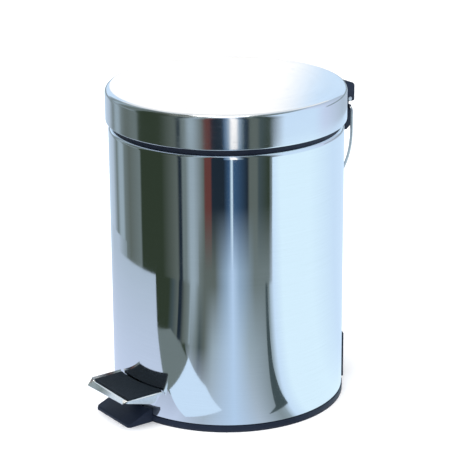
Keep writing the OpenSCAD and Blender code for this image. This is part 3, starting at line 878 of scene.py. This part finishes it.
# Sizes of the reflected room, in millimetres from the bin's axis and from the floor.
WALL_R = 460
FLOOR_IN = 104  # just outside the drum
FLOOR_OUT = 1700
TABLE_SPLIT = 288  # radius where the table's near part meets its far part
LAP = 2  # by which cards overlap
LINTEL_LOW = 780  # the wall's upper part, mirrored in the lid's rounded edge
LINTEL_TOP = 1950
LID_TOP = 288
LID_BAND = 144  # above this height on the wall, only the lid mirrors it
SEAM = -25  # middle of all the fans in degrees, so that no fan crosses the angle's jump


def colour_ramp(tree, turn_angle, stops):
    """A ramp of colours over the angle round the bin; stops are (angle in degrees, display colour)."""
    first, last = stops[0][0], stops[-1][0]
    span = tree.nodes.new("ShaderNodeMapRange")
    for socket, number in (("From Min", first - SEAM), ("From Max", last - SEAM)):
        span.inputs[socket].default_value = math.radians(number)
    ramp = tree.nodes.new("ShaderNodeValToRGB")
    points = ramp.color_ramp.elements
    while len(points) < len(stops):
        points.new(0.5)
    for point, (at, colour) in zip(points, stops):
        point.position = (at - first) / (last - first)
        point.color = (*seen(*colour), 1.0)
    tree.links.new(turn_angle, span.inputs["Value"])
    tree.links.new(span.outputs["Result"], ramp.inputs["Fac"])
    return ramp.outputs["Color"]


def fan_glow(name, stops, other_stops=None, change=None):
    """A glow coloured by angle. It may turn into a second set of stops over change: an axis, "height" or
    "distance", and where the change starts and ends, in millimetres."""
    material = bpy.data.materials.new(name)
    material.use_nodes = True
    tree = material.node_tree
    tree.nodes.clear()
    link = tree.links.new
    place = tree.nodes.new("ShaderNodeTexCoord")
    turn = tree.nodes.new("ShaderNodeVectorRotate")
    turn.rotation_type = "Z_AXIS"
    turn.inputs["Angle"].default_value = math.radians(-SEAM)
    split = tree.nodes.new("ShaderNodeSeparateXYZ")
    angle = tree.nodes.new("ShaderNodeMath")
    angle.operation = "ARCTAN2"
    link(place.outputs["Object"], turn.inputs["Vector"])
    link(turn.outputs[0], split.inputs[0])
    link(split.outputs["Y"], angle.inputs[0])
    link(split.outputs["X"], angle.inputs[1])
    colour = colour_ramp(tree, angle.outputs[0], stops)
    if other_stops:
        axis, begin, finish = change
        flat = tree.nodes.new("ShaderNodeVectorMath")
        flat.operation = "MULTIPLY"
        flat.inputs[1].default_value = (0.0, 0.0, 1.0) if axis == "height" else (1.0, 1.0, 0.0)
        length = tree.nodes.new("ShaderNodeVectorMath")
        length.operation = "LENGTH"
        share = tree.nodes.new("ShaderNodeMapRange")
        share.inputs["From Min"].default_value = begin * MM
        share.inputs["From Max"].default_value = finish * MM
        mix = tree.nodes.new("ShaderNodeMix")
        mix.data_type = "RGBA"
        link(place.outputs["Object"], flat.inputs[0])
        link(flat.outputs[0], length.inputs[0])
        link(length.outputs["Value"], share.inputs["Value"])
        link(share.outputs["Result"], mix.inputs["Factor"])
        link(colour, mix.inputs[6])
        link(colour_ramp(tree, angle.outputs[0], other_stops), mix.inputs[7])
        colour = mix.outputs[2]
    glow = tree.nodes.new("ShaderNodeEmission")
    out = tree.nodes.new("ShaderNodeOutputMaterial")
    link(colour, glow.inputs["Color"])
    link(glow.outputs[0], out.inputs["Surface"])
    return material


def floor_fan(name, near, far, stops, layer, near_stops=None):
    """A ring-shaped card on the floor, coloured by angle, and by distance where it has near stops."""
    glow = fan_glow("card_" + name, stops, near_stops, ("distance", far, near))
    flat_card(name, sector(stops[0][0], stops[-1][0], near, far), layer, glow)


def wall_fan(name, low, high, stops, radius=WALL_R, foot_stops=None, foot=(0, 1)):
    """A card standing in a ring round the bin, coloured by angle; its foot may have colours of its own."""
    start, end = stops[0][0], stops[-1][0]
    steps = max(2, int(abs(end - start) / 2))
    sweep = [math.radians(a) for a in steps_between(start, end, steps)]
    verts = []
    for z in (low, high):
        verts += [(radius * MM * math.cos(a), radius * MM * math.sin(a), z * MM) for a in sweep]
    count = steps + 1
    faces = [(i, i + 1, count + i + 1, count + i) for i in range(steps)]
    glow = fan_glow("card_" + name, stops, foot_stops, ("height", *foot))
    reflected_only(new_piece("card_" + name, verts, faces, glow))


# Tones of the room in the painted reflections, as the steel shows them, rounded from colours measured in the
# photographed reflections.
NIGHT = (35, 45, 55)
OLIVE = (50, 60, 50)
SLATE = (65, 78, 82)
STONE = (90, 100, 98)
PEWTER = (105, 118, 120)
ASH = (125, 140, 148)
MIST = (145, 163, 175)
PAPER = (165, 182, 200)
LAVENDER = (190, 205, 232)
EVENING = (195, 220, 245)
DAYLIGHT = (212, 238, 254)
WHITE = (255, 255, 255)
RED = (95, 60, 58)
DUSK = (60, 88, 120)
HAZE = (140, 165, 190)
CLEAR = (175, 202, 232)


def reflected_room():
    """Glowing cards that paint the reflection of a room into the steel; they show only in reflections and
    light nothing. Their angles, tones and corners are rounded from places and colours measured in the
    photographed reflections, and aren't a free design."""
    doorway = [(-205, EVENING), (-168, PAPER)]
    left = [
        (-168, PAPER), (-158, PEWTER), (-152, MIST), (-146, MIST), (-142, PEWTER), (-134, STONE),
        (-119, PEWTER), (-117, OLIVE), (-94, OLIVE), (-79, STONE), (-77, NIGHT), (-75, NIGHT),
        (-74, PEWTER), (-71, PEWTER), (-67, MIST), (-64, MIST), (-60, ASH),
    ]
    # The bright stops near -31 degrees here and in table_edge, table and table_front, and the glint stops,
    # paint the steel's thin vertical highlight of a light behind the camera.
    right = [
        (-60, ASH), (-55, STONE), (-54, RED), (-49, RED), (-48, NIGHT), (-38, NIGHT), (-33, DUSK),
        (-31, DAYLIGHT), (-30, DUSK), (-18, NIGHT), (-16, STONE), (-10, STONE), (-8, SLATE),
        (1, OLIVE), (4, ASH),
    ]
    daylight = [
        (-2, MIST), (1, MIST), (5, EVENING), (14, DAYLIGHT), (46, DAYLIGHT), (84, EVENING), (156, EVENING),
    ]
    lid_side = [
        (1, SLATE), (9, PAPER), (14, EVENING), (46, EVENING), (60, LAVENDER), (95, PAPER), (156, PAPER),
    ]
    table_edge = [
        (-84, SLATE), (-79, STONE), (-76, NIGHT), (-72, STONE), (-69, PEWTER), (-67, MIST), (-64, MIST),
        (-60, PEWTER), (-55, STONE), (-46, STONE), (-36, HAZE), (-31, CLEAR), (-25, HAZE),
        (-12, PEWTER), (1, PEWTER),
    ]
    table = [
        (-84, PEWTER), (-78, PEWTER), (-72, SLATE), (-68, PEWTER), (-66, ASH), (-62, PEWTER),
        (-59, SLATE), (-55, STONE), (-48, MIST), (-31, CLEAR), (-18, MIST), (-4, ASH), (-2, PEWTER),
        (1, MIST),
    ]
    table_front = [
        (-84, LAVENDER), (-66, LAVENDER), (-50, PAPER), (-32, CLEAR), (-17, PAPER), (-4, ASH), (3, MIST),
    ]
    wall_foot = [stop for stop in table_edge if stop[0] >= -60] + [(4, PAPER)]
    left_foot = [(-205, EVENING), (-174, PAPER), (-158, PAPER), (-141, ASH)]
    glint = [(-38, DUSK), (-33, HAZE), (-32, WHITE), (-27, WHITE), (-26, HAZE), (-21, SLATE)]
    lintel = [
        (-168, MIST), (-140, STONE), (-116, OLIVE), (-92, OLIVE), (-70, PEWTER), (-48, MIST),
        (-36, LAVENDER), (-24, LAVENDER), (-8, PEWTER), (20, STONE), (50, ASH), (95, PAPER),
    ]
    cupboard = [
        (-88, OLIVE), (-84, SLATE), (-79, STONE), (-78, NIGHT), (-76, NIGHT), (-73, STONE),
        (-69, PEWTER), (-67, MIST),
    ]
    paper = [(-205, EVENING), (-174, PAPER), (-60, PAPER)]
    paper_near = [(-205, LAVENDER), (-60, LAVENDER)]

    wall_fan("wall_side", 0, LID_TOP, doorway)
    wall_fan("wall_left", 0, LINTEL_LOW, left)
    wall_fan("lid_side", LID_BAND, LID_TOP, lid_side)
    wall_fan("lid_side_high", LID_TOP, LINTEL_LOW, [stop for stop in lid_side if stop[0] < 100])
    wall_fan("wall_right", 0, LINTEL_LOW, right, foot_stops=wall_foot, foot=(85, 15))
    wall_fan("wall_left_foot", -10, 20, left_foot, WALL_R - LAP)
    wall_fan("lid_glint", LID_BAND, LINTEL_LOW, glint, WALL_R - 1.5 * LAP)
    wall_fan("lintel", LINTEL_LOW, LINTEL_TOP, lintel)
    wall_fan("far_edge", 235, 300, [(60, ASH), (240, MIST)], WALL_R - 3 * LAP)

    floor_fan("paper_left", FLOOR_IN, WALL_R, paper, 1, paper_near)
    floor_fan("paper_right", FLOOR_IN, FLOOR_OUT, daylight, 1)
    floor_fan("table_far", TABLE_SPLIT - LAP, WALL_R, table_edge, 2, table)
    floor_fan("table_near", FLOOR_IN, TABLE_SPLIT, table, 3, table_front)
    floor_fan("cupboard", TABLE_SPLIT + LAP, WALL_R, cupboard, 5)
    floor_card("shade", [(-105, -465), (90, -465), (95, -235), (-40, -305)], OLIVE, 4)
    mat = [(-40, -305), (30, -315), (75, -280), (100, -225), (60, -130), (30, -165)]
    floor_card("mat", mat, PEWTER, 6)
    floor_card("sheet", [(100, -235), (35, -165), (60, -105), (110, -90), (120, -150)], EVENING, 7)
    sliver = [(125, -25), (140, 10), (235, 0), (455, -5), (455, -20), (140, -12)]
    floor_card("sliver", sliver, SLATE, 5)


WINDOW_R = 1900
WINDOW_LOW = 40
WINDOW_SILL = 640
WINDOW_TOP = 1500


def window_behind():
    """Glowing cards that paint the reflection of a bright window behind the bin in the lid, with a dimmer
    curtain to one side; they light nothing.
    """
    curtain = [(60, EVENING), (137, EVENING), (140, WHITE), (230, WHITE)]
    wall_fan("window_low", WINDOW_LOW, WINDOW_SILL, curtain, WINDOW_R)
    wall_fan("window_high", WINDOW_SILL, WINDOW_TOP, curtain, WINDOW_R)


FLOOR_HALF = 6.0
LAMP_AT = Vector((0.2, -0.6, 2.3))
LAMP_AIM = Vector((0, 0, 0.1))
LAMP_SIDE = 1.6
LAMP_WATTS = 34.0


def white_world():
    """Even white light all round."""
    scene = bpy.context.scene
    world = bpy.data.worlds.new("studio")
    scene.world = world
    world.use_nodes = True
    background = world.node_tree.nodes["Background"]
    background.inputs["Color"].default_value = (1.0, 1.0, 1.0, 1.0)
    background.inputs["Strength"].default_value = 1.0
    scene.view_settings.view_transform = "Standard"


def studio_floor():
    """A plain pale floor."""
    shade = Shader("studio_floor")
    shade.set("Base Color", (0.94, 0.94, 0.95, 1.0))
    shade.set("Roughness", 0.9)
    shade.set("Emission Color", (1.0, 1.0, 1.0, 1.0))
    shade.set("Emission Strength", 0.16)
    half = FLOOR_HALF
    corners = [(-half, -half, 0), (half, -half, 0), (half, half, 0), (-half, half, 0)]
    new_piece("studio_floor", corners, [(0, 1, 2, 3)], shade.material)


def softbox():
    """One soft lamp high in front of the bin."""
    lamp = bpy.data.lights.new("softbox", "AREA")
    lamp.shape = "RECTANGLE"
    lamp.size = LAMP_SIDE
    lamp.size_y = LAMP_SIDE
    lamp.energy = LAMP_WATTS
    light = bpy.data.objects.new("softbox", lamp)
    bpy.context.scene.collection.objects.link(light)
    aim = (LAMP_AIM - LAMP_AT).to_track_quat("-Z", "Y").to_matrix()
    light.matrix_world = Matrix.Translation(LAMP_AT) @ aim.to_4x4()


white_world()
studio_floor()
softbox()
reflected_room()
window_behind()
